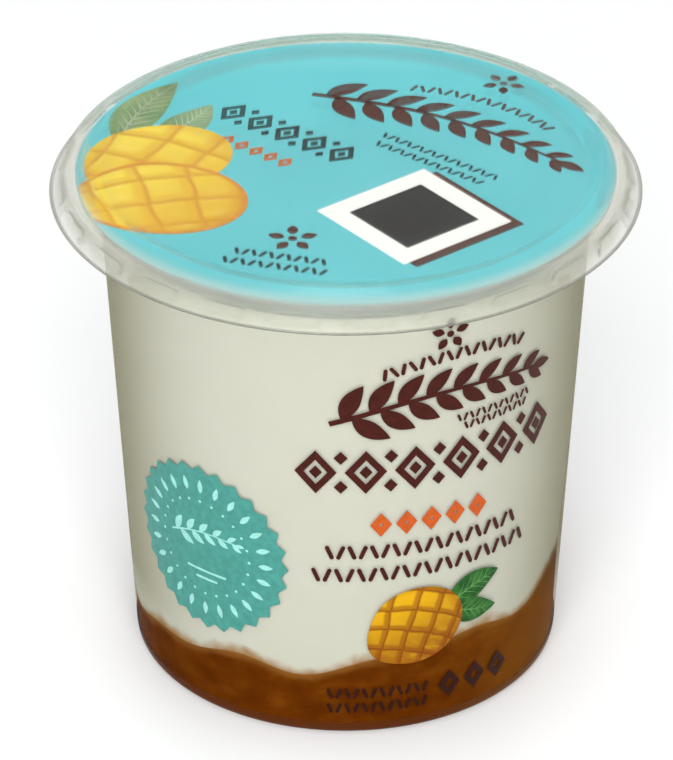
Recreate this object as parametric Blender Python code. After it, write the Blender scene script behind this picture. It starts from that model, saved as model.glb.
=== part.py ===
"""A shut pot of layered yogurt, in metres, +Z up, standing on the floor with its front towards -Y.

A tapered plastic cup holds a low layer of fruit and the yogurt over it. A thin printed seal
lies on the cup's rim, and a clear lid is pressed over the rim, with lugs inside its skirt.
"""

from math import cos, pi, radians, sin, tau

import bmesh
import bpy

# Driving dimensions
SEGMENTS = 72
GAP = 0.0003

BASE_RADIUS = 0.03815
WALL_DRAFT = 0.0592
WALL_THICKNESS = 0.0006
HEEL_RADIUS = 0.0025
FOOT_WIDTH = 0.0018
RECESS_HEIGHT = 0.0015
RECESS_SLOPE = 0.0016
FLOOR_THICKNESS = 0.0008

RIM_HEIGHT = 0.0940
RIM_THICKNESS = 0.0010
RIM_RADIUS = 0.0474

SEAL_RADIUS = 0.0476
SEAL_THICKNESS = 0.0003

FILL_HEIGHT = 0.0890
FRUIT_HEIGHT = 0.0155
FRUIT_TILT = 0.00415
FRUIT_WAVES = ((0.00097, 6, -0.85), (0.00073, 11, 0.69))  # height, waves round the cup, phase
FRUIT_RINGS = 5

LID_THICKNESS = 0.0006
LID_PANEL_HEIGHT = 0.0956
SHOULDER_HEIGHT = 0.0955
RIDGE_RADIUS = 0.0452
RIDGE_WIDTH = 0.0047
RIDGE_HEIGHT = 0.0978
SHOULDER_RADIUS = 0.0500
SHOULDER_ROUNDING = 0.0010
SKIRT_RADIUS = 0.0522
SKIRT_HEIGHT = 0.0912
LUG_DEPTH = 0.0016
LUG_HEIGHT = 0.0013
LUG_PITCH = 3  # corners from one lug to the next
LUG_SPAN = 2  # corners on a lug


def material(name, colour, roughness, alpha=1.0):
    """A Principled material with the part's own colour, roughness and clearness."""
    made = bpy.data.materials.new(name)
    made.use_nodes = True
    shader = made.node_tree.nodes["Principled BSDF"]
    shader.inputs["Base Color"].default_value = (*colour, 1.0)
    shader.inputs["Roughness"].default_value = roughness
    shader.inputs["Metallic"].default_value = 0.0
    shader.inputs["Alpha"].default_value = alpha
    made.diffuse_color = (*colour, alpha)
    return made


def arc(centre, radius, start, end, steps):
    """Points (r, z) along a round stretch of a profile, from one angle to another in degrees."""
    angles = [radians(start + (end - start) * step / steps) for step in range(steps + 1)]
    return [(centre[0] + radius * cos(a), centre[1] + radius * sin(a)) for a in angles]


def turned(name, profile, finish):
    """Turn a profile about Z into one closed solid.

    The profile holds points (r, z) from the axis to the axis, by way of the outer side. Where the
    solid isn't round, r is a function of the corner's number round the turn, and where a ring
    isn't level, z is a function of the radius and the angle.
    """
    mesh = bmesh.new()
    rings = []
    for r, z in profile:
        if r == 0:
            rings.append([mesh.verts.new((0, 0, z))] * SEGMENTS)
            continue
        ring = []
        for corner in range(SEGMENTS):
            angle = tau * corner / SEGMENTS - pi / 2
            radius = r(corner) if callable(r) else r
            height = z(radius, angle) if callable(z) else z
            ring.append(mesh.verts.new((radius * cos(angle), radius * sin(angle), height)))
        rings.append(ring)
    for lower, upper in zip(rings, rings[1:]):
        for corner in range(SEGMENTS):
            after = (corner + 1) % SEGMENTS
            around = (lower[corner], lower[after], upper[after], upper[corner])
            mesh.faces.new(list(dict.fromkeys(around)))
    bmesh.ops.triangulate(mesh, faces=mesh.faces)
    bmesh.ops.recalc_face_normals(mesh, faces=mesh.faces)
    data = bpy.data.meshes.new(name)
    mesh.to_mesh(data)
    mesh.free()
    data.shade_smooth()
    data.set_sharp_from_angle(angle=radians(40))
    data.materials.append(finish)
    made = bpy.data.objects.new(name, data)
    bpy.context.scene.collection.objects.link(made)
    return made


def wall_radius(height):
    """The cup's outer radius at a height on its straight wall."""
    return BASE_RADIUS + WALL_DRAFT * height


def inner_radius(height):
    return wall_radius(height) - WALL_THICKNESS


def fruit_top(radius, angle):
    """Height of the fruit's uneven top, lower on the left of the front and calmer inside."""
    azimuth = angle + pi / 2
    waves = sum(size * sin(count * azimuth + phase) for size, count, phase in FRUIT_WAVES)
    outward = (radius / wall_radius(FRUIT_HEIGHT)) ** 2
    return FRUIT_HEIGHT + outward * (FRUIT_TILT * sin(azimuth) + waves)


def yogurt_foot(radius, angle):
    return fruit_top(radius, angle) + GAP


def make_cup():
    """Thin tapered cup with a raised floor, a foot ring to stand on and a flat rim."""
    heel_centre = (wall_radius(HEEL_RADIUS) - HEEL_RADIUS, HEEL_RADIUS)
    foot_outer = heel_centre[0]
    foot_inner = foot_outer - FOOT_WIDTH
    floor_top = RECESS_HEIGHT + FLOOR_THICKNESS
    rim_foot = RIM_HEIGHT - RIM_THICKNESS
    rim_edge = RIM_THICKNESS / 2
    profile = [
        (0, RECESS_HEIGHT),
        (foot_inner - RECESS_SLOPE, RECESS_HEIGHT),
        (foot_inner, 0),
        *arc(heel_centre, HEEL_RADIUS, -90, 0, 4),
        (wall_radius(rim_foot), rim_foot),
        *arc((RIM_RADIUS - rim_edge, RIM_HEIGHT - rim_edge), rim_edge, -90, 90, 4),
        (inner_radius(RIM_HEIGHT), RIM_HEIGHT),
        (inner_radius(floor_top + HEEL_RADIUS), floor_top + HEEL_RADIUS),
        (inner_radius(floor_top) - HEEL_RADIUS / 2, floor_top),
        (0, floor_top),
    ]
    return turned("cup", profile, material("cup_plastic", (0.80, 0.79, 0.69), 0.3, 0.45))


def make_mango_layer():
    """The cooked fruit at the cup's foot, out to the wall, with an uneven top."""
    foot = RECESS_HEIGHT + FLOOR_THICKNESS + GAP
    outer = inner_radius(foot + HEEL_RADIUS) - GAP
    steps = [outer * (FRUIT_RINGS - ring) / FRUIT_RINGS for ring in range(1, FRUIT_RINGS)]
    profile = [
        (0, foot),
        (inner_radius(foot) - GAP - HEEL_RADIUS / 2, foot),
        (outer, foot + HEEL_RADIUS),
        (inner_radius(FRUIT_HEIGHT) - GAP, fruit_top),
        *[(step, fruit_top) for step in steps],
        (0, fruit_top(0, 0)),
    ]
    return turned("mango_layer", profile, material("mango", (0.30, 0.12, 0.03), 0.35))


def make_yogurt():
    """The yogurt, from the fruit's top up to just under the rim."""
    foot_outer = inner_radius(FRUIT_HEIGHT) - GAP
    steps = [foot_outer * ring / FRUIT_RINGS for ring in range(1, FRUIT_RINGS)]
    profile = [
        (0, yogurt_foot(0, 0)),
        *[(step, yogurt_foot) for step in steps],
        (foot_outer, yogurt_foot),
        (inner_radius(FILL_HEIGHT) - GAP, FILL_HEIGHT),
        (0, FILL_HEIGHT),
    ]
    return turned("yogurt", profile, material("yogurt", (0.82, 0.80, 0.70), 0.5))


def make_seal():
    """The thin printed disc that closes the cup, lying on its rim."""
    foot = RIM_HEIGHT + GAP
    profile = [
        (0, foot),
        (SEAL_RADIUS, foot),
        (SEAL_RADIUS, foot + SEAL_THICKNESS),
        (0, foot + SEAL_THICKNESS),
    ]
    return turned("seal", profile, material("seal_print", (0.17, 0.61, 0.62), 0.35))


def lug_radius(plain):
    """A radius inside the skirt that steps in for a lug and out again between two lugs."""

    def at_corner(corner):
        return plain - LUG_DEPTH if corner % LUG_PITCH < LUG_SPAN else plain

    return at_corner


def make_lid():
    """Clear lid: a panel over the seal, a hollow round ridge, a shoulder and a flared skirt."""
    wall = LID_THICKNESS
    ridge_outer = RIDGE_RADIUS + RIDGE_WIDTH / 2
    ridge_round = RIDGE_WIDTH / 2
    ridge_centre = (RIDGE_RADIUS, RIDGE_HEIGHT - ridge_round)
    shoulder_centre = (SHOULDER_RADIUS - SHOULDER_ROUNDING, SHOULDER_HEIGHT - SHOULDER_ROUNDING)
    slope = (SKIRT_RADIUS - SHOULDER_RADIUS) / (shoulder_centre[1] - SKIRT_HEIGHT)
    lug_top = SKIRT_HEIGHT + LUG_HEIGHT
    lug_foot = SKIRT_HEIGHT + wall
    clear_of_seal = SEAL_RADIUS + GAP

    def skirt_inside(height):
        return SKIRT_RADIUS - wall - slope * (height - SKIRT_HEIGHT)

    panel_foot = LID_PANEL_HEIGHT - wall
    ridge_in = arc(ridge_centre, ridge_round - wall, 165, 0, 6)
    ridge_out = arc(ridge_centre, ridge_round, 5, 165, 7)
    profile = [
        (0, panel_foot),
        (RIDGE_RADIUS - ridge_round + wall, panel_foot),
        *ridge_in,
        (clear_of_seal, SHOULDER_HEIGHT - wall),
        (shoulder_centre[0], SHOULDER_HEIGHT - wall),
        (skirt_inside(shoulder_centre[1] - wall), shoulder_centre[1] - wall),
        (lug_radius(skirt_inside(lug_top)), lug_top),
        (lug_radius(skirt_inside(lug_foot)), lug_foot),
        (SKIRT_RADIUS - wall, SKIRT_HEIGHT),
        (SKIRT_RADIUS, SKIRT_HEIGHT),
        *arc(shoulder_centre, SHOULDER_ROUNDING, 20, 90, 3),
        (ridge_outer + 2 * GAP, SHOULDER_HEIGHT),
        *ridge_out,
        (RIDGE_RADIUS - ridge_round - GAP, LID_PANEL_HEIGHT),
        (0, LID_PANEL_HEIGHT),
    ]
    return turned("lid", profile, material("lid_plastic", (0.86, 0.86, 0.80), 0.2, 0.3))


for leftover in list(bpy.data.objects):
    bpy.data.objects.remove(leftover, do_unlink=True)

make_cup()
make_mango_layer()
make_yogurt()
make_seal()
make_lid()
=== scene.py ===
from math import atan2, cos, hypot, pi, radians, sin, tau

import bpy
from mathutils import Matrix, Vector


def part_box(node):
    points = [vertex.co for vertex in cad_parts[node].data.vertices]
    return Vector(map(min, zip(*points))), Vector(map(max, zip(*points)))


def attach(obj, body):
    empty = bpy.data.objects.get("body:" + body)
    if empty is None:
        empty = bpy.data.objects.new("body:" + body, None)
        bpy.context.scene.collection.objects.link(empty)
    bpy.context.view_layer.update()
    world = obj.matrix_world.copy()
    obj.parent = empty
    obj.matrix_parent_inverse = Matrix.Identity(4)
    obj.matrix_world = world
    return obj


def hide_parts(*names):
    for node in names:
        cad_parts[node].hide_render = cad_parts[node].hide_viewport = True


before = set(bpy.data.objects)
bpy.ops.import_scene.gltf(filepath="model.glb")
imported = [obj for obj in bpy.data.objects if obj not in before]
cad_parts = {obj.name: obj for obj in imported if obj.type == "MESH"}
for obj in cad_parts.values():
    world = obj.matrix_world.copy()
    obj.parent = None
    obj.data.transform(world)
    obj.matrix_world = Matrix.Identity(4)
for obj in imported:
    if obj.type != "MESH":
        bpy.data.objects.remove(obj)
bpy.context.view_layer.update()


# Camera
# A long lens looks down on the pot from a little above, as in the photograph, with the front of
# the cup towards -Y.

MM = 0.001
VIEW_RISE = radians(31.0)
VIEW_DISTANCE = 1059.5 * MM
VIEW_POINT = (-1.65 * MM, 51.2 * MM)
LENS_LENGTH = 279.4

bpy.ops.object.select_all(action="DESELECT")
bpy.ops.object.camera_add(
    location=(
        VIEW_POINT[0],
        -VIEW_DISTANCE * cos(VIEW_RISE),
        VIEW_POINT[1] + VIEW_DISTANCE * sin(VIEW_RISE),
    ),
    rotation=(pi / 2 - VIEW_RISE, 0, 0),
)
camera = bpy.context.object
camera.data.lens = LENS_LENGTH
camera.data.clip_start = 0.05
bpy.context.scene.camera = camera


# Cup
# A thin cup of natural, slightly milky plastic, moulded in one shot. It stands on a foot ring
# round a raised floor, with a painted glow in the fruit's colour, and a flat rim takes the seal.

WELD = 0.0005 * MM
TURN_STEPS = 240
BASE_RADIUS = 38.15 * MM
WALL_DRAFT = 0.0592
WALL_THICKNESS = 0.6 * MM
HEEL_RADIUS = 2.5 * MM
FOOT_WIDTH = 1.8 * MM
RECESS_HEIGHT = 1.5 * MM
RECESS_SLOPE = 1.6 * MM
FLOOR_THICKNESS = 0.8 * MM
RIM_THICKNESS = 1.0 * MM
GATE_RADIUS = 1.2 * MM
GATE_DEPTH = 0.35 * MM
FLOOR_RING_RADIUS = 21 * MM
FLOOR_RING_WIDTH = 0.9 * MM
RIM_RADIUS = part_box("cup")[1].x
RIM_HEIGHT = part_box("cup")[1].z


def wall_radius(height):
    """The cup's outer radius at a height on its straight wall."""
    return BASE_RADIUS + WALL_DRAFT * height


def arc(centre, radius, start, end, steps):
    """Points (r, z) along a round stretch of a profile, between two angles in degrees."""
    angles = [radians(start + (end - start) * step / steps) for step in range(steps + 1)]
    return [(centre[0] + radius * cos(a), centre[1] + radius * sin(a)) for a in angles]


def turned_piece(name, profile):
    """Draw a profile by extruding one corner from point to point, and spin it round the axis."""
    bpy.ops.object.select_all(action="DESELECT")
    bpy.ops.mesh.primitive_plane_add(size=MM)
    piece = bpy.context.object
    piece.name = name
    piece.data.name = name
    bpy.ops.object.mode_set(mode="EDIT")
    bpy.ops.mesh.merge(type="CENTER")
    bpy.ops.transform.translate(value=(profile[0][0], 0, profile[0][1]))
    for start, end in zip(profile, profile[1:]):
        step = (end[0] - start[0], 0, end[1] - start[1])
        bpy.ops.mesh.extrude_region_move(TRANSFORM_OT_translate={"value": step})
    bpy.ops.mesh.select_all(action="SELECT")
    bpy.ops.mesh.spin(steps=TURN_STEPS, angle=tau, center=(0, 0, 0), axis=(0, 0, 1))
    bpy.ops.mesh.select_all(action="SELECT")
    bpy.ops.mesh.remove_doubles(threshold=WELD)
    bpy.ops.mesh.normals_make_consistent(inside=False)
    bpy.ops.object.mode_set(mode="OBJECT")
    bpy.ops.object.shade_smooth_by_angle(angle=radians(35))
    return piece


class Tone:
    """A socket of a material. Arithmetic on it adds Math nodes, and node adds any other node."""

    def __init__(self, tree, socket=None):
        self.tree = tree
        self.socket = socket

    def node(self, kind, settings=None, sockets=None, output=0):
        """Add a node: its settings are set first, then the values or links of its sockets."""
        made = self.tree.nodes.new("ShaderNode" + kind)
        for name, value in (settings or {}).items():
            if name == "stops":
                ramp = made.color_ramp.elements
                while len(ramp) < len(value):
                    ramp.new(1.0)
                for stop, (place, colour) in zip(ramp, value):
                    stop.position = place
                    stop.color = colour
            else:
                setattr(made, name, value)
        for name, value in (sockets or {}).items():
            if isinstance(value, Tone):
                self.tree.links.new(value.socket, made.inputs[name])
            else:
                made.inputs[name].default_value = value
        return Tone(self.tree, made.outputs[output])

    def maths(self, operation, *values):
        return self.node("Math", {"operation": operation}, dict(enumerate(values)))

    def __add__(self, other):
        return self.maths("ADD", self, other)

    def __sub__(self, other):
        return self.maths("SUBTRACT", self, other)

    def __rsub__(self, other):
        return self.maths("SUBTRACT", other, self)

    def __mul__(self, other):
        return self.maths("MULTIPLY", self, other)

    def __truediv__(self, other):
        return self.maths("DIVIDE", self, other)

    __radd__ = __add__
    __rmul__ = __mul__

    def between(self, low, high):
        """0 where this is under low, 1 where it is over high, and smooth in between."""
        return self.node(
            "MapRange",
            {"interpolation_type": "SMOOTHSTEP"},
            {"Value": self, "From Min": low, "From Max": high},
        )

    def mix(self, first, second):
        """The first colour where this is 0, the second where it is 1."""
        return self.node("Mix", {"data_type": "RGBA"}, {0: self, 6: first, 7: second}, 2)

    def noise(self, size, detail, stretch=(1, 1, 1)):
        """Cloudy noise on this vector, with features of about that size in metres."""
        scaled = self.node("Mapping", {}, {"Vector": self, "Scale": stretch})
        return self.node("TexNoise", {}, {"Vector": scaled, "Scale": 1 / size, "Detail": detail})

    def bump(self, height, strength):
        """A normal from this height map, whose whole range is that high in metres."""
        return self.node("Bump", {}, {"Height": self, "Distance": height, "Strength": strength})

    def into(self, shader, name):
        self.tree.links.new(self.socket, shader.inputs[name])


def new_finish(name, fixed, coordinates="Object"):
    """A material, its Principled shader with fixed values, and its coordinates as a Tone."""
    made = bpy.data.materials.new(name)
    made.use_nodes = True
    shader = made.node_tree.nodes["Principled BSDF"]
    for socket, value in fixed.items():
        shader.inputs[socket].default_value = value
    place = Tone(made.node_tree).node("TexCoord", output=coordinates)
    return made, shader, place


def let_lamps_through(made, plastic, tint):
    """Thin clear plastic only tints the light that reaches what lies behind it."""
    clear = plastic.node("BsdfTransparent", {}, {"Color": tint})
    for kind in ("Is Diffuse Ray", "Is Shadow Ray"):
        ray = plastic.node("LightPath", output=kind)
        plastic = plastic.node("MixShader", {}, {0: ray, 1: plastic, 2: clear})
    plastic.into(made.node_tree.nodes["Material Output"], "Surface")


def put_on_pot(piece, made, slot, *nodes):
    """Give a piece its material, and say what it rides on and which solid it stands for."""
    piece.data.materials.clear()
    piece.data.materials.append(made)
    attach(piece, "root")
    if nodes:
        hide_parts(*nodes)


foot_outer = wall_radius(HEEL_RADIUS) - HEEL_RADIUS
foot_inner = foot_outer - FOOT_WIDTH
floor_top = RECESS_HEIGHT + FLOOR_THICKNESS
rim_foot = RIM_HEIGHT - RIM_THICKNESS
rim_edge = RIM_THICKNESS / 2
heel_inside = HEEL_RADIUS / 2 - WALL_THICKNESS
cup = turned_piece(
    "cup_shell",
    [
        (0, RECESS_HEIGHT - GATE_DEPTH),
        (GATE_RADIUS * 0.8, RECESS_HEIGHT - GATE_DEPTH),
        (GATE_RADIUS, RECESS_HEIGHT),
        (FLOOR_RING_RADIUS - FLOOR_RING_WIDTH, RECESS_HEIGHT),
        (FLOOR_RING_RADIUS - FLOOR_RING_WIDTH / 2, RECESS_HEIGHT - GATE_DEPTH),
        (FLOOR_RING_RADIUS + FLOOR_RING_WIDTH / 2, RECESS_HEIGHT - GATE_DEPTH),
        (FLOOR_RING_RADIUS + FLOOR_RING_WIDTH, RECESS_HEIGHT),
        (foot_inner - RECESS_SLOPE, RECESS_HEIGHT),
        (foot_inner - RECESS_SLOPE / 2, RECESS_HEIGHT / 2),
        (foot_inner, 0),
        *arc((foot_outer, HEEL_RADIUS), HEEL_RADIUS, -90, -3, 10),
        *[(wall_radius(z * rim_foot), z * rim_foot) for z in (0.1, 0.25, 0.5, 0.75)],
        (wall_radius(rim_foot), rim_foot),
        *arc((RIM_RADIUS - rim_edge, RIM_HEIGHT - rim_edge), rim_edge, -90, 90, 8),
        (wall_radius(RIM_HEIGHT) - WALL_THICKNESS, RIM_HEIGHT),
        *arc(
            (wall_radius(floor_top) - WALL_THICKNESS - heel_inside, floor_top + heel_inside),
            heel_inside,
            0,
            -90,
            6,
        ),
        (0, floor_top),
    ],
)

CUP_CLEAR = (0.98, 0.98, 0.96, 1)
CUP_EDGE_SHADE = (0.55, 0.53, 0.41, 1)
CUP_LAMP_TINT = (0.95, 0.95, 0.93, 1)
FOOT_PAINTED_GLOW_DIM = (0.105, 0.024, 0.002, 1)
FOOT_PAINTED_GLOW_LIT = (0.150, 0.052, 0.006, 1)
CLEAR_SHARE = 0.86  # how much of the wall passes light straight, beside its gloss
cup_plastic, cup_shader, cup_place = new_finish(
    "cup_plastic",
    {
        "Transmission Weight": 1.0,
        "IOR": 1.13,
        "Specular IOR Level": 0.3,
    },
)
flow_lines = cup_place.noise(1.6 * MM, 2.0, stretch=(1, 1, 0.04))
orange_peel = cup_place.noise(2.5 * MM, 3.0)
cup_z = cup_place.node("SeparateXYZ", {}, {0: cup_place}, "Z")
# Painted shade: the wall turns darker and yellower where it is seen edge-on, partly for the longer way
# through the plastic and mostly as shade painted on the cup's sides, less near the foot; the light that
# passes takes the same tint
edge_on_shade = cup_place.node("LayerWeight", {}, {"Blend": 0.5}, "Facing").between(0.30, 0.88)
edge_on_shade = edge_on_shade * (0.3 + 0.7 * cup_z.between(10 * MM, 20 * MM))
edge_on_shade.mix(CUP_CLEAR, CUP_EDGE_SHADE).into(cup_shader, "Base Color")
(0.12 + 0.10 * flow_lines + 0.06 * orange_peel).into(cup_shader, "Roughness")
orange_peel.bump(0.01 * MM, 0.4).into(cup_shader, "Normal")
cup_gloss = Tone(cup_plastic.node_tree, cup_shader.outputs["BSDF"])
pass_clear = cup_place.node("BsdfTransparent", {}, {"Color": CUP_CLEAR})
pass_edge_shade = cup_place.node("BsdfTransparent", {}, {"Color": CUP_EDGE_SHADE})
cup_through = cup_place.node("MixShader", {}, {0: edge_on_shade, 1: pass_clear, 2: pass_edge_shade})
cup_clear = cup_place.node("MixShader", {}, {0: CLEAR_SHARE, 1: cup_gloss, 2: cup_through})
# Painted light: the foot is coloured as if the fruit's light glowed in the clear plastic, lighter and
# more orange on the right
foot_lit_side = cup_place.node("SeparateXYZ", {}, {0: cup_place}, "X").between(10 * MM, 38 * MM)
foot_painted_glow = cup_place.node(
    "BsdfPrincipled",
    {},
    {
        "Base Color": foot_lit_side.mix(FOOT_PAINTED_GLOW_DIM, FOOT_PAINTED_GLOW_LIT),
        "Roughness": 0.3,
        "Specular IOR Level": 0.03,
    },
)
painted_glow_share = 1 - cup_z.between(2.5 * MM, 3.6 * MM)
cup_toned = cup_place.node("MixShader", {}, {0: painted_glow_share * 0.95, 1: cup_clear, 2: foot_painted_glow})
let_lamps_through(cup_plastic, cup_toned, CUP_LAMP_TINT)
put_on_pot(cup, cup_plastic, "cup_plastic", "cup")


# Mango layer
# Cooked mango, amber brown and wet, poured in first. Its top lies unevenly where the yogurt
# was filled over it, lower on the left of the front than on the right.

FRUIT_HEIGHT = 15.5 * MM
FRUIT_TILT = 4.15 * MM
FRUIT_WAVES = ((0.97 * MM, 6, -0.85), (0.73 * MM, 11, 0.69))  # height, waves round the cup, phase
INTO_WALL = 0.25 * MM
FRUIT_RINGS = 12


def fruit_top(x, y):
    """Height of the fruit's top at a place in the cup."""
    azimuth = atan2(y, x) + pi / 2
    waves = sum(size * sin(count * azimuth + phase) for size, count, phase in FRUIT_WAVES)
    outward = (hypot(x, y) / wall_radius(FRUIT_HEIGHT)) ** 2
    return FRUIT_HEIGHT + outward * (FRUIT_TILT * sin(azimuth) + waves)


def lay_on_fruit(piece, sink):
    """Move a level face at the fruit's mean height to the fruit's uneven top."""
    for corner in piece.data.vertices:
        if abs(corner.co.z - FRUIT_HEIGHT) < WELD:
            corner.co.z = fruit_top(corner.co.x, corner.co.y) - sink


def wall_seam(radius):
    """Rings from the middle to the wall at the fruit's mean height."""
    return [(radius * ring / FRUIT_RINGS, FRUIT_HEIGHT) for ring in range(FRUIT_RINGS + 1)]


def inside_wall(height):
    """A radius that reaches just into the cup's wall, so that no air shows behind the plastic."""
    return wall_radius(height) - WALL_THICKNESS + INTO_WALL


mango_foot = floor_top - INTO_WALL
heel_reach = heel_inside + INTO_WALL
mango_layer = turned_piece(
    "mango_layer_fill",
    [
        (0, mango_foot),
        *arc((inside_wall(floor_top) - heel_reach, mango_foot + heel_reach), heel_reach, -90, 0, 8),
        *reversed(wall_seam(inside_wall(FRUIT_HEIGHT))),
    ],
)
lay_on_fruit(mango_layer, 0)

AMBER_DARK = (0.088, 0.018, 0.0008, 1)
AMBER = (0.125, 0.028, 0.0012, 1)
AMBER_LIGHT = (0.180, 0.050, 0.0030, 1)
AMBER_PAINTED_LIGHT = (0.25, 0.092, 0.010, 1)
AMBER_BORDER = (0.26, 0.11, 0.022, 1)
mango, mango_shader, mango_place = new_finish(
    "mango",
    {
        "Subsurface Weight": 0.12,
        "Subsurface Radius": (1.0, 0.4, 0.12),
        "Subsurface Scale": 1.2 * MM,
        "Specular IOR Level": 0.0,
    },
)


def above_border(place):
    """Height over the fruit's border on the wall, in millimetres, from a place's coordinates."""
    x = place.node("SeparateXYZ", {}, {0: place}, "X")
    y = place.node("SeparateXYZ", {}, {0: place}, "Y")
    z = place.node("SeparateXYZ", {}, {0: place}, "Z")
    azimuth = x.maths("ARCTAN2", x, 0 - y)
    border = FRUIT_HEIGHT + FRUIT_TILT * azimuth.maths("SINE", azimuth)
    for size, count, phase in FRUIT_WAVES:
        wave = azimuth * count + phase
        border = border + size * wave.maths("SINE", wave)
    return (z - border) / MM


pulp = mango_place.noise(5.5 * MM, 4.0, stretch=(1, 1, 1.6))
fibre = mango_place.noise(1.1 * MM, 3.0, stretch=(1, 1, 1.8))
mango_height = above_border(mango_place)
under_border = (mango_height + 1.2 * pulp).between(-1.5, 1.3)
amber = pulp.node(
    "ValToRGB",
    {"stops": ((0.30, AMBER_DARK), (0.50, AMBER), (0.70, AMBER_LIGHT))},
    {"Fac": pulp * 0.75 + fibre * 0.25},
)
# Painted light: the fruit is painted lighter and more orange towards the right, as if light came
# through it from that side
painted_light_right = mango_place.node("SeparateXYZ", {}, {0: mango_place}, "X").between(14 * MM, 42 * MM)
amber = (painted_light_right * (0.5 + 0.5 * pulp)).mix(amber, AMBER_PAINTED_LIGHT)
under_border.mix(amber, AMBER_BORDER).into(mango_shader, "Base Color")
(0.25 + 0.3 * fibre).into(mango_shader, "Roughness")
(pulp * 0.8 + fibre * 0.2).bump(0.12 * MM, 0.3).into(mango_shader, "Normal")
put_on_pot(mango_layer, mango, "mango", "mango_layer")


# Yogurt
# Thick white yogurt, filled over the fruit to just under the rim. Near the border it has taken
# on a little of the fruit's colour.

FILL_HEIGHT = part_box("yogurt")[1].z
SEAM = 0.05 * MM

yogurt = turned_piece(
    "yogurt_fill",
    [
        *wall_seam(inside_wall(FRUIT_HEIGHT)),
        (inside_wall(FILL_HEIGHT * 0.5), FILL_HEIGHT * 0.5),
        (inside_wall(FILL_HEIGHT) - SEAM, FILL_HEIGHT),
        (0, FILL_HEIGHT),
    ],
)
lay_on_fruit(yogurt, SEAM)

CREAM_DARK = (0.578, 0.578, 0.495, 1)
CREAM_LIGHT = (0.605, 0.605, 0.528, 1)
CREAM_STAINED = (0.35, 0.20, 0.085, 1)
yogurt_cream, yogurt_shader, yogurt_place = new_finish(
    "yogurt",
    {
        "Subsurface Weight": 0.25,
        "Subsurface Radius": (1.0, 0.8, 0.55),
        "Subsurface Scale": 1.5 * MM,
        "Specular IOR Level": 0.0,
    },
)
curd = yogurt_place.noise(7 * MM, 3.0)
grain = yogurt_place.noise(1.2 * MM, 3.0)
swirl = yogurt_place.noise(3.5 * MM, 2.0)
drift = 2.2 * (curd - 0.3) + 1.8 * (swirl - 0.4) + 0.3 * grain
over_border = (above_border(yogurt_place) - drift).between(-1.1, 1.6)
cream = curd.mix(CREAM_DARK, CREAM_LIGHT)
over_border.mix(CREAM_STAINED, cream).into(yogurt_shader, "Base Color")
(0.35 + 0.2 * grain).into(yogurt_shader, "Roughness")
grain.bump(0.05 * MM, 0.4).into(yogurt_shader, "Normal")
put_on_pot(yogurt, yogurt_cream, "yogurt", "yogurt")


# Prints on the cup
# Ink on the wall's outside, printed before filling: a toothed rosette, a sprig with a blossom, a
# border of lozenges, rows of marks and a scored mango with leaves. Each ink is a closed skin a few
# hundredths of a millimetre thick, drawn flat in millimetres and wrapped round the taper.

PRINT_RADIUS = 41.0
STRIP_WIDTH = 1.5
INK_DEPTH = 0.03
INK_STEP = 0.025
PETALS = 5


def outline_of(radius_at, corners):
    """Corners round a shape whose radius is a function of the angle."""
    angles = [tau * corner / corners for corner in range(corners)]
    return [(radius_at(a) * cos(a), radius_at(a) * sin(a)) for a in angles]


def oval(width, height, corners):
    angles = [tau * corner / corners for corner in range(corners)]
    return [(width / 2 * cos(a), height / 2 * sin(a)) for a in angles]


def dash(length, height):
    """A short bar with round ends."""
    straight = length / 2 - height / 2
    right = arc((straight, 0), height / 2, -90, 90, 8)
    left = arc((-straight, 0), height / 2, 90, 270, 8)
    return right + left


def lozenge(width, height):
    return [(width / 2, 0), (0, height / 2), (-width / 2, 0), (0, -height / 2)]


def ribbon(line, width_at, steps):
    """A curved band: line gives its middle and width_at its width, for t from 0 to 1."""
    upper = []
    lower = []
    for step in range(steps + 1):
        t = step / steps
        x, y = line(t)
        ahead = line(t + 0.001)
        slope = atan2(ahead[1] - y, ahead[0] - x)
        half = width_at(t) / 2
        upper.append((x - half * sin(slope), y + half * cos(slope)))
        lower.append((x + half * sin(slope), y - half * cos(slope)))
    return lower + upper[::-1]


def leaf(length, width, bow=0.0):
    """A pointed leaf from its stalk at the origin along +X, bent sideways by bow."""
    tip = 0.02 * width
    return ribbon(
        lambda t: (length * t, bow * sin(pi * t)),
        lambda t: tip + width * sin(pi * t) ** 0.85 * (1.12 - 0.3 * t),
        18,
    )


def moved(outline, x, y, turn=0.0):
    """The outline turned by an angle in degrees, and moved."""
    c = cos(radians(turn))
    s = sin(radians(turn))
    return [(x + c * px - s * py, y + s * px + c * py) for px, py in outline]


def flat_shape(outline, hollow):
    """A filled flat shape. With a hollow, only a band of that width along its edge is left."""
    bpy.ops.mesh.primitive_circle_add(vertices=len(outline), radius=1, fill_type="NGON")
    shape = bpy.context.object
    for corner, (x, y) in zip(shape.data.vertices, outline):
        corner.co = (x, y, 0)
    if hollow:
        bpy.ops.object.mode_set(mode="EDIT")
        bpy.ops.mesh.inset(thickness=hollow)
        bpy.ops.mesh.delete(type="FACE")
        bpy.ops.object.mode_set(mode="OBJECT")
    return shape


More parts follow.
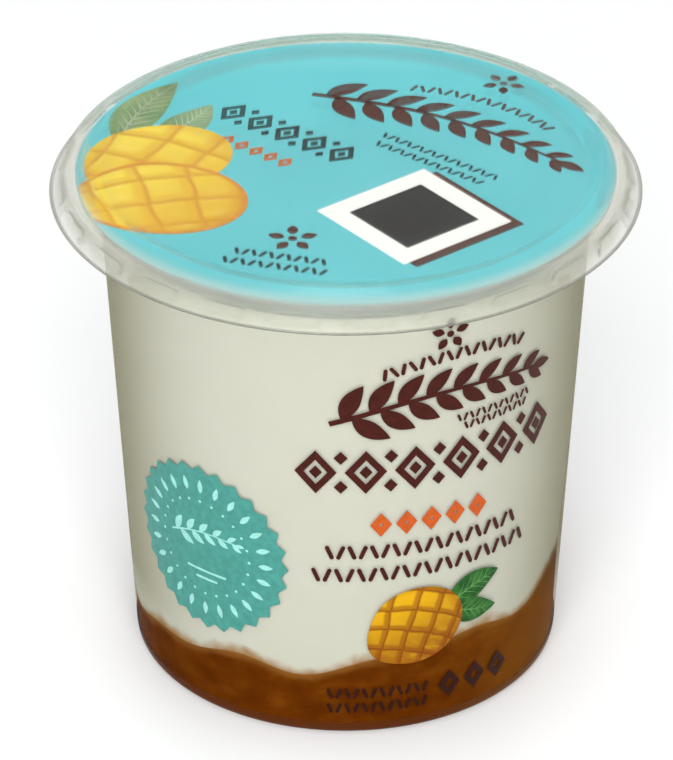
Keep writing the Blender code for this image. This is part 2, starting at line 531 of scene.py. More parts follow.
def print_skin(name, shapes, level, place_corner, strips=True):
    """Join flat shapes into one thin closed skin of ink and carry it to the surface it is on.

    shapes holds pairs of an outline and a hollow. place_corner takes a flat corner's x, y and
    height over the surface, in millimetres, to its place in metres.
    """
    bpy.ops.object.select_all(action="DESELECT")
    made = [flat_shape(outline, hollow) for outline, hollow in shapes]
    for shape in made:
        shape.select_set(True)
    piece = made[0]
    bpy.context.view_layer.objects.active = piece
    if len(made) > 1:
        bpy.ops.object.join()
    piece.name = name
    piece.data.name = name
    if strips:
        across = [corner.co.x for corner in piece.data.vertices]
        first = int(min(across) / STRIP_WIDTH) - 1
        last = int(max(across) / STRIP_WIDTH) + 1
        bpy.ops.object.mode_set(mode="EDIT")
        for number in range(first, last + 1):
            bpy.ops.mesh.select_all(action="SELECT")
            bpy.ops.mesh.bisect(plane_co=(number * STRIP_WIDTH, 0, 0), plane_no=(1, 0, 0))
        bpy.ops.mesh.select_all(action="SELECT")
        bpy.ops.mesh.normals_make_consistent(inside=False)
        bpy.ops.object.mode_set(mode="OBJECT")
    flat = piece.data
    face_up = sum(face.normal.z * face.area for face in flat.polygons) > 0
    if not face_up:
        flat.flip_normals()
    uv = flat.uv_layers.new(name="print") if not flat.uv_layers else flat.uv_layers[0]
    for loop in flat.loops:
        corner = flat.vertices[loop.vertex_index].co
        uv.data[loop.index].uv = (corner.x * MM, corner.y * MM)
    thicken = piece.modifiers.new("ink", "SOLIDIFY")
    thicken.thickness = 2 * INK_DEPTH + INK_STEP * level
    thicken.offset = 0
    bpy.ops.object.modifier_apply(modifier=thicken.name)
    lift = INK_STEP * level / 2
    for corner in flat.vertices:
        corner.co = place_corner(corner.co.x, corner.co.y, corner.co.z + lift)
    bpy.ops.object.shade_smooth_by_angle(angle=radians(35))
    return piece


def on_wall(x, y, proud):
    """A print's corner on the cup: x runs round the wall and y is the height."""
    azimuth = x / PRINT_RADIUS
    radius = wall_radius(y * MM) + proud * MM
    return (radius * sin(azimuth), -radius * cos(azimuth), y * MM)


def round_wall(degrees):
    """How far round the wall a print's middle lies, in millimetres, from its azimuth."""
    return radians(degrees) * PRINT_RADIUS


PRINTED = {"Specular IOR Level": 0.08}


def ink(name, colour, spread=0.08):
    """Printed colour under a thin varnish, a little uneven from one place to the next."""
    made, shader, place = new_finish(name, PRINTED)
    mottle = place.noise(1.3 * MM, 4.0)
    darker = tuple(value * (1 - spread) for value in colour) + (1,)
    lighter = tuple(min(1.0, value * (1 + spread)) for value in colour) + (1,)
    mottle.between(0.3, 0.7).mix(darker, lighter).into(shader, "Base Color")
    (0.3 + 0.15 * mottle).into(shader, "Roughness")
    mottle.bump(0.004 * MM, 0.3).into(shader, "Normal")
    return made


def sprig(length, leaves, reach=0.21):
    """A curved stem with pairs of leaves, from its foot at the origin along +X."""
    bow = length * 0.08

    def stem(t):
        return (length * t, bow * sin(pi * t))

    shapes = [(ribbon(stem, lambda t: length * (0.026 - 0.014 * t), 30), 0)]
    for number in range(leaves):
        t = (number + 0.45) / leaves
        size = length * reach * (1 - 0.45 * t)
        for side, shift in ((1, 0.0), (-1, 0.35)):
            x, y = stem(t + shift / leaves)
            slant = side * (50 - 16 * t) + 12 - 26 * t
            shapes.append((moved(leaf(size, size * 0.42, side * size * 0.05), x, y, slant), 0))
    shapes.append((moved(leaf(length * 0.12, length * 0.05), *stem(1.0), -12), 0))
    return shapes


def blossom(radius):
    """A flower seen from the front: petals round an open middle, and an eye."""
    size = radius * 0.66
    shapes = []
    for petal in range(PETALS):
        turn = 90 + 360 * petal / PETALS
        x = radius * 0.32 * cos(radians(turn))
        y = radius * 0.32 * sin(radians(turn))
        shapes.append((moved(leaf(size, size * 0.66), x, y, turn), 0))
    shapes.append((oval(radius * 0.36, radius * 0.36, 18), 0))
    return shapes


def lozenge_border(length, height, count):
    """A row of open lozenges with a solid one in each, and a pair of small ones between them."""
    pitch = length / count
    shapes = []
    for number in range(count):
        x = (number + 0.5) * pitch
        shapes.append((moved(lozenge(pitch * 0.84, height), x, 0), height * 0.135))
        shapes.append((moved(lozenge(pitch * 0.26, height * 0.30), x, 0), 0))
        if number:
            for side in (1, -1):
                small = moved(lozenge(pitch * 0.28, height * 0.30), x - pitch / 2, side * height * 0.34)
                shapes.append((small, 0))
    return shapes


def open_lozenges(length, height, count, band):
    """A row of open lozenges, each drawn with a band of that width."""
    pitch = length / count
    return [(moved(lozenge(pitch * 0.84, height), (n + 0.5) * pitch, 0), band) for n in range(count)]


def zigzag(length, height, count, width):
    """A row of short strokes that lean to the right and to the left in turn."""
    pitch = length / count
    stroke = dash(height, width)
    return [(moved(stroke, (n + 0.5) * pitch, 0, 68 if n % 2 else 112), 0) for n in range(count)]


def strokes_on_arc(radius, start, end, count, height, width):
    """Short strokes that stand on an arc round the origin, between two angles in degrees."""
    shapes = []
    for number in range(count):
        turn = start + (end - start) * number / (count - 1)
        stroke = moved(dash(height, width), radius, 0, 22 if number % 2 else -22)
        shapes.append((moved(stroke, 0, 0, turn), 0))
    return shapes


def dots_on_arc(radius, start, end, count, size):
    """Round dots along an arc round the origin, between two angles in degrees."""
    places = arc((0, 0), radius, start, end, count - 1)
    return [(moved(oval(size, size, 14), x, y), 0) for x, y in places]


def group_at(shapes, x, y, turn=0.0):
    """All the shapes of a group, turned and moved together."""
    return [(moved(outline, x, y, turn), hollow) for outline, hollow in shapes]


ROSETTE_PLACE = (round_wall(-38.8), 35.6)
ROSETTE_RADIUS = 17.4
ROSETTE_TEETH = 28
TOOTH_DEPTH = 1.3


def toothed(radius):
    """Outline of the rosette: a tooth's tip and root in turn."""
    corners = 2 * ROSETTE_TEETH
    angles = [tau * corner / corners for corner in range(corners)]
    radii = [radius - TOOTH_DEPTH * (corner % 2) for corner in range(corners)]
    return [(r * cos(a), r * sin(a)) for r, a in zip(radii, angles)]


rosette = print_skin(
    "print_rosette", group_at([(toothed(ROSETTE_RADIUS), 0)], *ROSETTE_PLACE), 1, on_wall
)
rosette_ink = ink("ink_turquoise", (0.070, 0.305, 0.260), 0.10)
put_on_pot(rosette, rosette_ink, "seal_print")

MARKS = 24  # small leaves in a ring, with as many dots inside it
mint_shapes = []
for number in range(MARKS):
    turn = 360 * number / MARKS
    mark = moved(leaf(2.8, 1.1), 11.7, -0.2)
    mint_shapes.append((moved(mark, 0, 0, turn), 0))
mint_shapes += dots_on_arc(9.9, 0, 345, MARKS, 0.55)
mint_shapes += group_at(sprig(15, 5, 0.26), -7.6, 1.0, 8)
mint_shapes += [(moved(dash(9, 0.5), 0.5, -5.0), 0), (moved(dash(5, 0.5), 0.5, -6.6), 0)]
rosette_marks = print_skin("print_rosette_marks", group_at(mint_shapes, *ROSETTE_PLACE), 2, on_wall)
put_on_pot(rosette_marks, ink("ink_mint", (0.33, 0.72, 0.66)), "seal_print")

# Each motif has its place round the wall and its height, in millimetres, and a turn in degrees
dark_shapes = group_at(sprig(39, 8), round_wall(-4), 67.6, 4)
dark_shapes += group_at(blossom(3.5), round_wall(24.5), 84.0)
dark_shapes += group_at(strokes_on_arc(44, 108, 74, 17, 2.4, 0.68), round_wall(28), 35.6)
dark_shapes += group_at(zigzag(16, 1.6, 13, 0.48), round_wall(27), 65.9)
dark_shapes += group_at(zigzag(14, 1.6, 12, 0.48), round_wall(29), 64.0)
dark_shapes += group_at(lozenge_border(52, 9.0, 6), round_wall(-13.4), 57.4)
dark_shapes += group_at(zigzag(38, 3.0, 19, 0.78), round_wall(-5.5), 40.3)
dark_shapes += group_at(zigzag(43, 3.0, 21, 0.78), round_wall(-9), 35.4)
dark_print = print_skin("print_brown", dark_shapes, 1, on_wall)
brown_ink = ink("ink_brown", (0.058, 0.010, 0.006), 0.15)
put_on_pot(dark_print, brown_ink, "seal_print")

orange_shapes = group_at(open_lozenges(23, 5.0, 5, 1.25), round_wall(5.4), 46.0)
orange_print = print_skin("print_orange", orange_shapes, 1, on_wall)
orange_ink = ink("ink_orange", (0.56, 0.098, 0.015))
put_on_pot(orange_print, orange_ink, "seal_print")

foot_shapes = group_at(zigzag(20, 2.2, 12, 0.65), round_wall(-5.4), 9.4)
foot_shapes += group_at(zigzag(20, 2.2, 12, 0.65), round_wall(-5.4), 6.2)
foot_shapes += group_at(open_lozenges(17, 5.8, 3, 1.1), round_wall(24.5), 8.6)
foot_print = print_skin("print_foot", foot_shapes, 1, on_wall)
put_on_pot(foot_print, ink("ink_plum", (0.030, 0.006, 0.003), 0.2), "seal_print")

MANGO_PLACE = (round_wall(17.8), 22.9)
MANGO_SIZE = (18.8, 16.1)
MANGO_CUBE = 4.3


def mango_outline(width, height):
    """A mango lying on its side: full at the stalk on the right, with a beak at the lower left."""

    def radius_at(angle):
        base = 1 / hypot(cos(angle) * 2 / width, sin(angle) * 2 / height)
        beak = max(0.0, cos(angle - radians(205))) ** 10
        hollow = max(0.0, cos(angle - radians(158))) ** 6
        return base * (1 + 0.05 * cos(angle - 0.7) + 0.09 * beak - 0.07 * hollow)

    return outline_of(radius_at, 56)


fruit_shape = group_at([(mango_outline(*MANGO_SIZE), 0)], *MANGO_PLACE, 10)
fruit_print = print_skin("print_mango", fruit_shape, 3, on_wall)


def scored_flesh(name, centre, width, height, cell, turn, gleam, light, deep, cut):
    """Flesh scored into cubes: lit tops, deeper sides below and to the right, and dark cuts.

    Lengths are in millimetres on the flat print. The last four values are colours.
    """
    made, shader, place = new_finish(name, PRINTED, "UV")
    cells = place.node(
        "Mapping",
        {"vector_type": "TEXTURE"},
        {
            "Vector": place,
            "Location": (centre[0] * MM, centre[1] * MM, 0),
            "Rotation": (0, 0, radians(turn)),
            "Scale": (cell * MM, cell * MM, 1),
        },
    )
    across = cells.node("SeparateXYZ", {}, {0: cells}, "X")
    up = cells.node("SeparateXYZ", {}, {0: cells}, "Y")
    fibres = cells.noise(0.35, 4.0, stretch=(0.4, 1, 1))
    waver = 0.35 * cells.noise(1.6, 2.0)
    row = up + 0.07 * across * across + waver
    column = across - 0.06 * up * across + waver
    row_edge = row.maths("PINGPONG", row, 0.5)
    column_edge = column.maths("PINGPONG", column, 0.5)
    cuts = 1 - row_edge.maths("MINIMUM", row_edge, column_edge).between(0.01, 0.09)
    below = 1 - row.maths("FRACT", row).between(0.16, 0.30)
    right = column.maths("FRACT", column).between(0.68, 0.82)
    sides = below.maths("MAXIMUM", below, right)
    half_across = width / 2 / cell
    half_up = height / 2 / cell
    lower = (0.5 * fibres - up * (0.7 / half_up) + across * (0.5 / half_across)).between(-0.6, 1.1)
    rim = (across * across) / half_across**2 + (up * up) / half_up**2
    flesh = (lower * 0.85).mix(light, deep)
    flesh = (fibres.between(0.45, 0.7) * 0.35).mix(flesh, gleam)
    flesh = (sides * 0.6).mix(flesh, deep)
    flesh = (cuts * 0.65).mix(flesh, cut)
    (rim.between(0.70, 1.15) * 0.35).mix(flesh, cut).into(shader, "Base Color")
    (0.3 + 0.15 * fibres).into(shader, "Roughness")
    return made


CUP_MANGO = (  # gleam, light, deep and cut
    (0.76, 0.47, 0.015, 1),
    (0.74, 0.40, 0.006, 1),
    (0.25, 0.056, 0.002, 1),
    (0.19, 0.032, 0.001, 1),
)
fruit_ink = scored_flesh("ink_mango", MANGO_PLACE, 18.4, 16.4, MANGO_CUBE, -16, *CUP_MANGO)
put_on_pot(fruit_print, fruit_ink, "seal_print")


def leaf_ink(name, dark, light, patch):
    """Leaf green in soft lighter and darker patches, on the piece's flat coordinates."""
    made, shader, place = new_finish(name, PRINTED, "UV")
    cloud = place.noise(patch, 3.0)
    cloud.between(0.3, 0.7).mix(dark, light).into(shader, "Base Color")
    (0.3 + 0.15 * cloud).into(shader, "Roughness")
    return made


def leaf_veins(length, width, bow, pairs=6):
    """A leaf's midrib and the pairs of veins that leave it towards the tip."""

    def rib(t):
        return (length * t, bow * sin(pi * t))

    shapes = [(ribbon(rib, lambda t: 0.055 * width * (1.1 - t), 18), 0)]
    for number in range(pairs):
        t = 0.1 + 0.75 * number / pairs
        reach = 0.5 * width * sin(pi * (t + 0.08)) ** 0.85
        for side in (1, -1):
            x, y = rib(t)
            tip = (x + 0.9 * reach, y + 0.82 * side * reach)
            vein = ribbon(
                lambda s: (x + s * (tip[0] - x), y + s**1.3 * (tip[1] - y)),
                lambda s: 0.03 * width * (1.15 - s),
                6,
            )
            shapes.append((vein, 0))
    return shapes


CUP_LEAVES = ((12.4, 6.0, 0.8, 21), (11.8, 5.2, -0.6, -15))  # length, width, bow, turn
LEAF_FOOT = (MANGO_PLACE[0] + 6.0, MANGO_PLACE[1] + 2.8)
leaf_shapes = []
vein_shapes = []
for length, width, bow, turn in CUP_LEAVES:
    leaf_shapes += group_at([(leaf(length, width, bow), 0)], *LEAF_FOOT, turn)
    vein_shapes += group_at(leaf_veins(length, width, bow), *LEAF_FOOT, turn)
leaf_print = print_skin("print_leaves", leaf_shapes, 1, on_wall)
green_ink = leaf_ink("ink_leaf", (0.014, 0.080, 0.014, 1), (0.040, 0.165, 0.030, 1), 2.2 * MM)
put_on_pot(leaf_print, green_ink, "seal_print")
vein_print = print_skin("print_leaf_veins", vein_shapes, 2, on_wall)
put_on_pot(vein_print, ink("ink_vein", (0.115, 0.300, 0.085)), "seal_print")


# Seal
# A thin film that closes the cup, printed an even turquoise. It is welded to the rim and lies
# flat under the lid.

SEAL_LOW, SEAL_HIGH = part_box("seal")
SEAL_RADIUS = SEAL_HIGH.x
SEAL_TOP = SEAL_HIGH.z
SEAL_EDGE = 0.08 * MM
SEAL_RINGS = 14

seal_rings = [SEAL_RADIUS * (1 - ring / SEAL_RINGS) for ring in range(1, SEAL_RINGS)]
seal = turned_piece(
    "seal_film",
    [
        (0, SEAL_LOW.z),
        (SEAL_RADIUS - SEAL_EDGE, SEAL_LOW.z),
        (SEAL_RADIUS, SEAL_LOW.z + SEAL_EDGE),
        (SEAL_RADIUS, SEAL_TOP - SEAL_EDGE),
        (SEAL_RADIUS - SEAL_EDGE, SEAL_TOP),
        *[(r, SEAL_TOP) for r in seal_rings],
        (0, SEAL_TOP),
    ],
)
TURQUOISE_DARK = (0.125, 0.535, 0.605, 1)
TURQUOISE_LIGHT = (0.140, 0.575, 0.645, 1)
TURQUOISE_PAINTED_SHEEN = (0.20, 0.66, 0.72, 1)
seal_film, seal_shader, seal_place = new_finish("seal_film", PRINTED)
wash = seal_place.noise(22 * MM, 2.0)
grain_and_sheen_streaks = seal_place.noise(0.8 * MM, 3.0, stretch=(0.3, 1, 1))
ground = wash.between(0.3, 0.7).mix(TURQUOISE_DARK, TURQUOISE_LIGHT)
# Painted sheen: lighter streaks of turquoise over the film; the same streaks vary the roughness
painted_sheen_share = grain_and_sheen_streaks.between(0.4, 0.7) * 0.12
painted_sheen_share.mix(ground, TURQUOISE_PAINTED_SHEEN).into(seal_shader, "Base Color")
(0.28 + 0.14 * grain_and_sheen_streaks).into(seal_shader, "Roughness")
wash.bump(0.15 * MM, 0.5).into(seal_shader, "Normal")
put_on_pot(seal, seal_film, "seal_print", "seal")


# Prints on the seal
# Ink on the film, with the cup's motifs, two scored mango halves with leaves, and a plain code
# panel: a black square in a white one, with a brown shadow at its lower right.

PANEL_PLACE = (11.8, -17.2)
PANEL_TURN = 38.5
PANEL_SIDE = 24
CODE_SIDE = 16
SHADOW_PLACE = (PANEL_PLACE[0] + 2.2, PANEL_PLACE[1] - 0.9)


def on_seal(x, y, proud):
    """A print's corner on the seal, in the seal's plane."""
    return (x * MM, y * MM, SEAL_TOP + proud * MM)


def square(side):
    half = side / 2
    return [(half, half), (-half, half), (-half, -half), (half, -half)]


def seal_skin(name, shapes, level):
    return print_skin(name, shapes, level, on_seal, strips=False)


panel_shape = [(square(PANEL_SIDE), 0)]
code_shape = [(square(CODE_SIDE), 0)]
panel_shadow = seal_skin("seal_panel_shadow", group_at(panel_shape, *SHADOW_PLACE, PANEL_TURN), 1)
put_on_pot(panel_shadow, ink("ink_umber", (0.085, 0.038, 0.026), 0.15), "seal_print")
panel_white = seal_skin("seal_panel", group_at(panel_shape, *PANEL_PLACE, PANEL_TURN), 2)
put_on_pot(panel_white, ink("ink_white", (0.96, 0.96, 0.95), 0.01), "seal_print")
panel_black = seal_skin("seal_panel_black", group_at(code_shape, *PANEL_PLACE, PANEL_TURN), 3)
put_on_pot(panel_black, ink("ink_black", (0.022, 0.020, 0.020), 0.2), "seal_print")

ROW_TURN = -38.8  # most rows run down to the right
seal_dark = group_at(lozenge_border(31, 7.2, 5), -22.5, 22.6, ROW_TURN)
seal_dark += group_at(zigzag(26, 1.9, 19, 0.56), 6.5, 12.5, ROW_TURN)
seal_dark += group_at(zigzag(24, 1.9, 18, 0.56), 5.3, 9.5, ROW_TURN)
seal_dark += group_at(zigzag(17, 2.2, 11, 0.7), -19.5, -29.0, -15)
seal_dark += group_at(zigzag(19, 2.2, 12, 0.7), -21.5, -32.0, -15)
seal_dark_print = seal_skin("seal_print_dark", seal_dark, 1)
put_on_pot(seal_dark_print, ink("ink_deep_teal", (0.020, 0.048, 0.048), 0.15), "seal_print")

seal_brown = group_at(sprig(50, 9, 0.18), -6.0, 27.5, ROW_TURN + 9)
seal_brown += group_at(blossom(4.0), 28.5, 31.5, ROW_TURN)
seal_brown += group_at(strokes_on_arc(38.5, 79, 36, 19, 2.4, 0.65), 5, -8)
seal_brown += group_at(blossom(4.6), -9.2, -25.0)
seal_brown_print = seal_skin("seal_print_brown", seal_brown, 1)
put_on_pot(seal_brown_print, ink("ink_cocoa", (0.085, 0.030, 0.022), 0.15), "seal_print")

seal_orange = group_at(open_lozenges(16.5, 4.0, 5, 0.8), -22.3, 11.4, ROW_TURN)
seal_orange_print = seal_skin("seal_print_orange", seal_orange, 1)
put_on_pot(seal_orange_print, ink("ink_tangerine", (0.50, 0.14, 0.04)), "seal_print")

BACK_PLACE = (-33.8, 3.0)
FRONT_PLACE = (-33.0, -11.0)


def held_on_seal(shapes):
    """The shapes cut off along the seal's edge."""
    limit = SEAL_RADIUS / MM - 0.2
    held = []
    for outline, hollow in shapes:
        sizes = [min(1.0, limit / hypot(x, y)) for x, y in outline]
        held.append(([(x * k, y * k) for (x, y), k in zip(outline, sizes)], hollow))
    return held


SEAL_CUBE = 8.2
SEAL_MANGO = (  # gleam, light, deep and cut
    (0.93, 0.74, 0.17, 1),
    (0.90, 0.71, 0.075, 1),
    (0.74, 0.42, 0.018, 1),
    (0.60, 0.25, 0.022, 1),
)
back_outline = group_at([(mango_outline(28, 23), 0)], *BACK_PLACE, 28)
back_print = seal_skin("seal_mango_back", held_on_seal(back_outline), 3)
back_ink = scored_flesh("ink_mango_back", BACK_PLACE, 28, 24, SEAL_CUBE, -28, *SEAL_MANGO)
put_on_pot(back_print, back_ink, "seal_print")

rind_outline = group_at([(mango_outline(31, 25), 0)], *FRONT_PLACE, -14)
rind_print = seal_skin("seal_mango_rind", held_on_seal(rind_outline), 4)
put_on_pot(rind_print, ink("ink_rind", (0.66, 0.27, 0.035), 0.15), "seal_print")
front_outline = group_at([(mango_outline(29.4, 23.4), 0)], *FRONT_PLACE, -14)
front_print = seal_skin("seal_mango_front", held_on_seal(front_outline), 5)
front_ink = scored_flesh("ink_mango_front", FRONT_PLACE, 30, 24, SEAL_CUBE, 14, *SEAL_MANGO)
put_on_pot(front_print, front_ink, "seal_print")

SEAL_LEAVES = (  # length, width, bow, place and turn
    (25, 8.8, 1.5, -40.5, 9.0, 66),
    (17, 7.6, -1.0, -34.5, 10.0, 52),
)
seal_leaves = []
seal_veins = []
for length, width, bow, x, y, turn in SEAL_LEAVES:
    seal_leaves += group_at([(leaf(length, width, bow), 0)], x, y, turn)
    seal_veins += group_at(leaf_veins(length, width, bow, 9), x, y, turn)
seal_leaf_print = seal_skin("seal_leaves", held_on_seal(seal_leaves), 1)
pale_green_ink = leaf_ink("ink_pale_leaf", (0.14, 0.245, 0.105, 1), (0.28, 0.38, 0.20, 1), 6 * MM)
put_on_pot(seal_leaf_print, pale_green_ink, "seal_print")
seal_vein_print = seal_skin("seal_leaf_veins", held_on_seal(seal_veins), 2)
put_on_pot(seal_vein_print, ink("ink_pale_vein", (0.46, 0.56, 0.38)), "seal_print")


# Lid
# A clear lid of thin moulded plastic, a little cloudy. Its panel lies close over the seal inside
# a hollow round ridge, and the flared skirt grips the rim with a ring of lugs inside.

LID_LOW, LID_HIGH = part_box("lid")
LID_THICKNESS = 0.6 * MM
PANEL_HEIGHT = 95.6 * MM
SHOULDER_HEIGHT = 95.5 * MM
SHOULDER_RADIUS = 50.0 * MM
SHOULDER_ROUNDING = 1.0 * MM
RIDGE_RADIUS = 45.2 * MM
RIDGE_ROUND = 2.35 * MM
SKIRT_RADIUS = LID_HIGH.x
SKIRT_HEIGHT = LID_LOW.z
LUGS = 24
LUG_SHARE = 0.64
LUG_DEPTH = 1.1 * MM
LUG_LOW = SKIRT_HEIGHT + 0.6 * MM
LUG_HIGH = SKIRT_HEIGHT + 1.9 * MM

RIDGE_HALF = RIDGE_ROUND + 0.3 * MM
RIDGE_STEPS = 20
shoulder_centre = (SHOULDER_RADIUS - SHOULDER_ROUNDING, SHOULDER_HEIGHT - SHOULDER_ROUNDING)
skirt_slope = (SKIRT_RADIUS - SHOULDER_RADIUS) / (shoulder_centre[1] - SKIRT_HEIGHT)


def skirt_inside(height):
    return SKIRT_RADIUS - LID_THICKNESS - skirt_slope * (height - SKIRT_HEIGHT)


def ridge_profile(sunk):
    """The ridge's rounded hump from the panel out to the shoulder, or its underside."""
    points = []
    for step in range(RIDGE_STEPS + 1):
        along = 2 * step / RIDGE_STEPS - 1
        foot = PANEL_HEIGHT if along < 0 else SHOULDER_HEIGHT
        hump = (LID_HIGH.z - foot) * (0.5 + 0.5 * cos(pi * along))
        points.append((RIDGE_RADIUS + RIDGE_HALF * along, foot + hump - sunk))
    return points


skirt_steps = [LUG_HIGH + 0.4 * MM, LUG_HIGH, (LUG_LOW + LUG_HIGH) / 2, LUG_LOW, LUG_LOW - 0.2 * MM]
lid = turned_piece(
    "lid_clear",
    [
        (0, PANEL_HEIGHT - LID_THICKNESS),
        *ridge_profile(LID_THICKNESS),
        *arc(shoulder_centre, SHOULDER_ROUNDING - 0.5 * LID_THICKNESS, 80, 30, 4),
        *[(skirt_inside(z), z) for z in skirt_steps],
        (SKIRT_RADIUS - LID_THICKNESS * 0.8, SKIRT_HEIGHT),
        (SKIRT_RADIUS - LID_THICKNESS * 0.2, SKIRT_HEIGHT),
        (SKIRT_RADIUS, SKIRT_HEIGHT + LID_THICKNESS * 0.25),
        *arc(shoulder_centre, SHOULDER_ROUNDING, 25, 90, 6),
        *reversed(ridge_profile(0)),
        (0, PANEL_HEIGHT),
    ],
)

bpy.ops.object.mode_set(mode="EDIT")
bpy.ops.mesh.select_mode(type="VERT")
bpy.ops.mesh.select_all(action="DESELECT")
bpy.ops.object.mode_set(mode="OBJECT")
for corner in lid.data.vertices:
    x, y, z = corner.co
    on_skirt = abs(hypot(x, y) - skirt_inside(z)) < 0.02 * MM
    at_lugs = LUG_LOW - WELD < z < LUG_HIGH + WELD
    corner.select = on_skirt and at_lugs and (atan2(y, x) / tau * LUGS) % 1 < LUG_SHARE
lug_size = 1 - LUG_DEPTH / skirt_inside(LUG_LOW)
bpy.ops.object.mode_set(mode="EDIT")
bpy.ops.transform.resize(value=(lug_size, lug_size, 1), center_override=(0, 0, 0))
bpy.ops.object.mode_set(mode="OBJECT")

lid_plastic, lid_shader, lid_place = new_finish(
    "lid_plastic",
    {
        "Transmission Weight": 1.0,
        "IOR": 1.16,
        "Coat Roughness": 0.3,
        "Coat IOR": 1.5,
    },
)
haze = lid_place.noise(9 * MM, 3.0)
scuff = lid_place.noise(0.9 * MM, 4.0)
lid_x = lid_place.node("SeparateXYZ", {}, {0: lid_place}, "X")
lid_y = lid_place.node("SeparateXYZ", {}, {0: lid_place}, "Y")
lid_reach = lid_x.maths("SQRT", lid_x * lid_x + lid_y * lid_y)
skirt_share = lid_reach.between(RIDGE_RADIUS, SHOULDER_RADIUS)
near_ridge = lid_reach.between(RIDGE_RADIUS - 2 * RIDGE_HALF, RIDGE_RADIUS - RIDGE_HALF)
lid_z = lid_place.node("SeparateXYZ", {}, {0: lid_place}, "Z")
# Painted shade: a dark line along the skirt's bottom edge
painted_lip_shade = 1 - lid_z.between(SKIRT_HEIGHT + 0.1 * MM, SKIRT_HEIGHT + 0.35 * MM)
# Painted shade on the shoulder, over the dark gap between lid and cup
shade = skirt_share * (1 - lid_reach.between(SHOULDER_RADIUS, SHOULDER_RADIUS + 1.5 * MM))
past_hump = lid_reach.between(RIDGE_RADIUS + 0.5 * RIDGE_HALF, RIDGE_RADIUS + RIDGE_HALF)
hump = near_ridge * (1 - past_hump)
# At the back only, the shoulder's painted shade turns teal and the ridge's inner slope is painted
# darker and a little cloudier
at_back = lid_y.between(5 * MM, 35 * MM)
slope_shade = lid_reach.between(RIDGE_RADIUS - 2 * RIDGE_HALF, RIDGE_RADIUS - 1.3 * RIDGE_HALF)
past_slope = lid_reach.between(RIDGE_RADIUS - 0.8 * RIDGE_HALF, RIDGE_RADIUS - 0.4 * RIDGE_HALF)
slope_shade = slope_shade * (1 - past_slope) * at_back
LID_CLEAR = (0.98, 0.98, 0.96, 1)
LID_MILKY = (0.68, 0.69, 0.62, 1)
LID_LAMP_TINT = (0.975, 0.975, 0.965, 1)
# Painted shades: each darkens both the plastic's colour and the light passing through it
lid_painted_shades = (  # shoulder in front, shoulder at the back, the ridge's slope and the lip
    (shade * 0.40 * (1 - at_back), (0.50, 0.50, 0.40, 1)),
    (shade * 0.40 * at_back, (0.30, 0.70, 0.64, 1)),
    (slope_shade * 0.25, (0.55, 0.52, 0.48, 1)),
    (painted_lip_shade * 0.85, (0.22, 0.21, 0.17, 1)),
)
lid_tint_and_shade = LID_CLEAR
lid_through = lid_place.node("BsdfTransparent", {}, {"Color": LID_CLEAR})
for share, colour in lid_painted_shades:
    lid_tint_and_shade = share.mix(lid_tint_and_shade, colour)
    shade_pass = share.node("BsdfTransparent", {}, {"Color": colour})
    lid_through = share.node("MixShader", {}, {0: share, 1: lid_through, 2: shade_pass})
lid_tint_and_shade.into(lid_shader, "Base Color")
(0.01 + 0.02 * haze + 0.01 * scuff + 0.18 * skirt_share).into(lid_shader, "Roughness")
(hump * 0.4 + skirt_share * 0.1).into(lid_shader, "Coat Weight")
(haze * 0.8 + scuff * 0.2).bump(0.04 * MM, 0.3).into(lid_shader, "Normal")
milky = lid_place.node(
    "BsdfPrincipled",
    {},
    {"Base Color": LID_MILKY, "Roughness": 0.35, "Specular IOR Level": 0.3},
)
lid_gloss = Tone(lid_plastic.node_tree, lid_shader.outputs["BSDF"])
clear_share = 0.85 - 0.08 * near_ridge - 0.08 * skirt_share
lid_clear = lid_place.node("MixShader", {}, {0: clear_share, 1: lid_gloss, 2: lid_through})
on_shoulder = lid_reach.between(SEAL_RADIUS - 1.1 * MM, SEAL_RADIUS + 0.2 * MM)
past_shoulder = lid_reach.between(SHOULDER_RADIUS - 0.5 * MM, SHOULDER_RADIUS + 1.0 * MM)
on_shoulder = on_shoulder * (1 - past_shoulder)
milky_share = skirt_share * (0.09 + 0.10 * haze) + 0.13 * on_shoulder + 0.03 * slope_shade
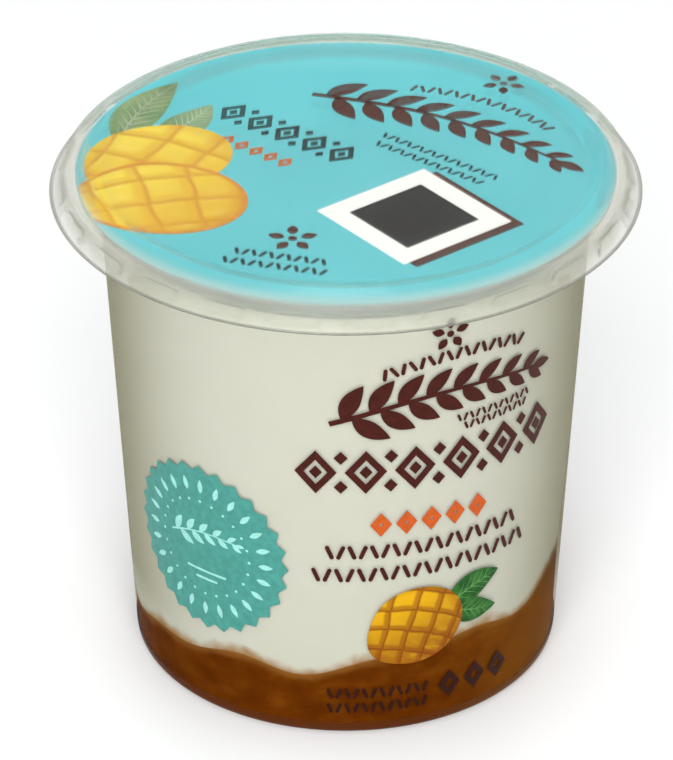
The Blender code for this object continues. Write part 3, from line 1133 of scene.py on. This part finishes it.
cloudy = lid_place.node("MixShader", {}, {0: milky_share, 1: lid_clear, 2: milky})
let_lamps_through(lid_plastic, cloudy, LID_LAMP_TINT)
put_on_pot(lid, lid_plastic, "lid_plastic", "lid")


# Floor and light
# A plain pale floor under plain soft light: a large soft lamp in front, a weaker one above and
# another behind, and an even pale sky.

FLOOR_SIDE = 6.0
FLOOR_DARK = (0.92, 0.92, 0.915, 1)
FLOOR_LIGHT = (0.95, 0.95, 0.945, 1)
SKY_COLOUR = (0.95, 0.97, 1.0, 1)
SKY_STRENGTH = 0.32

bpy.ops.object.select_all(action="DESELECT")
bpy.ops.mesh.primitive_plane_add(size=FLOOR_SIDE)
floor = bpy.context.object
floor.name = "floor"
floor_paint, floor_shader, floor_place = new_finish("floor_paint", {"Specular IOR Level": 0.2})
floor_cloud = floor_place.noise(0.4, 3.0)
floor_cloud.mix(FLOOR_DARK, FLOOR_LIGHT).into(floor_shader, "Base Color")
(0.7 + 0.2 * floor_cloud).into(floor_shader, "Roughness")
floor.data.materials.append(floor_paint)


def soft_lamp(name, azimuth, rise, distance, size, power):
    """A square soft lamp that looks at the pot's middle from an azimuth and a rise in degrees.

    Its distance and size are in metres and its power is in watts.
    """
    a = radians(azimuth)
    e = radians(rise)
    place = (
        distance * cos(e) * sin(a),
        -distance * cos(e) * cos(a),
        VIEW_POINT[1] + distance * sin(e),
    )
    bpy.ops.object.light_add(type="AREA", location=place, rotation=(pi / 2 - e, 0, a))
    lamp = bpy.context.object
    lamp.name = name
    lamp.data.size = size
    lamp.data.energy = power


soft_lamp("lamp_front", -3, 42, 1.3, 0.7, 13.5)
soft_lamp("lamp_top", 0, 85, 1.3, 1.0, 7.0)
soft_lamp("lamp_back", 180, 55, 1.5, 0.9, 3.5)

sky = bpy.data.worlds.new("sky")
sky.use_nodes = True
sky.node_tree.nodes["Background"].inputs["Color"].default_value = SKY_COLOUR
sky.node_tree.nodes["Background"].inputs["Strength"].default_value = SKY_STRENGTH
bpy.context.scene.world = sky
bpy.context.scene.view_settings.view_transform = "Standard"
